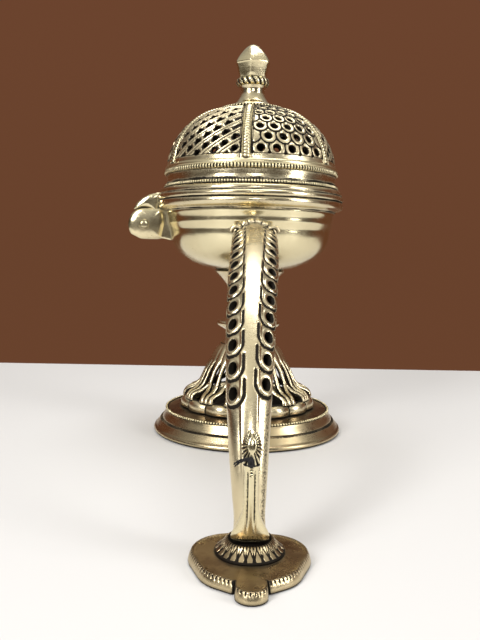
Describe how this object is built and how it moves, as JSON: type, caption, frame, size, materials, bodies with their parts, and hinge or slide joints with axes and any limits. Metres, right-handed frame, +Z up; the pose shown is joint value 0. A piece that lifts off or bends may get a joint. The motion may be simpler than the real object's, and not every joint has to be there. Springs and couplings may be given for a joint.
{
  "type": "hand-held incense censer",
  "caption": "Brass incense censer: a bowl with a hinged pierced dome lid on a pierced pedestal, and an arched pierced side handle that ends in its own leaf-shaped foot.",
  "frame": {"origin": "centre of the round base's underside, on the surface that the censer stands on", "axes": "+Z up along the bowl's axis; -Y towards the handle's foot; the lid's hinge is on the -X side"},
  "size_m": [0.1277, 0.2696, 0.226],
  "materials": {
    "turned_brass": "lathe-turned and buffed, dark in the grooves",
    "polished_brass": "bright hand polish with light waviness",
    "beaded_brass": "beaded and notched, blackened recesses",
    "chased_brass": "cast, pierced and engraved, blackened recesses, bright high points",
    "aged_brass": "antiqued brown-gold patina with scratches",
    "fastener_brass": "dull machined brass",
    "black_thread": "twisted cotton thread"
  },
  "bodies": {
    "stand": {"base_flange": "turned_brass", "base_tier": "turned_brass", "base_bead_ring": "beaded_brass", "bell_foot_ring": "chased_brass", "openwork_bell": "chased_brass", "stem_collar": "turned_brass", "stem_knop": "turned_brass", "stem_flare": "turned_brass", "tie_bolt": "fastener_brass", "tie_washer": "fastener_brass", "tie_nut": "fastener_brass", "bowl": "polished_brass", "bowl_flange": "turned_brass", "hinge_lug": "polished_brass", "hinge_pin": "fastener_brass", "handle_crown": "chased_brass", "handle": "chased_brass", "handle_bolt": "fastener_brass", "handle_spur": "polished_brass", "thread_tie": "black_thread", "foot_collar": "aged_brass", "foot_plate": "aged_brass", "foot_screw": "fastener_brass"},
    "lid": {"lid_flange": "turned_brass", "lid_lower_bead_ring": "beaded_brass", "lid_band": "turned_brass", "lid_upper_bead_ring": "beaded_brass", "lid_dome_1": "chased_brass", "lid_dome_2": "chased_brass", "lid_dome_3": "chased_brass", "lid_dome_4": "chased_brass", "lid_dome_5": "chased_brass", "lid_dome_6": "chased_brass", "lid_strap_1": "beaded_brass", "lid_strap_2": "beaded_brass", "lid_strap_3": "beaded_brass", "lid_strap_4": "beaded_brass", "lid_strap_5": "beaded_brass", "lid_strap_6": "beaded_brass", "crown_disc": "beaded_brass", "finial_stem": "turned_brass", "finial_bead_collar": "beaded_brass", "finial_bud": "polished_brass", "finial_nut": "fastener_brass", "lid_tongue": "polished_brass"}
  },
  "joints": [
    {"name": "lid_hinge", "type": "hinge", "parent": "stand", "child": "lid", "pos_m": [-0.062, 0, 0.1216], "axis": [0, -1, 0], "range_deg": [0, 105]}
  ]
}
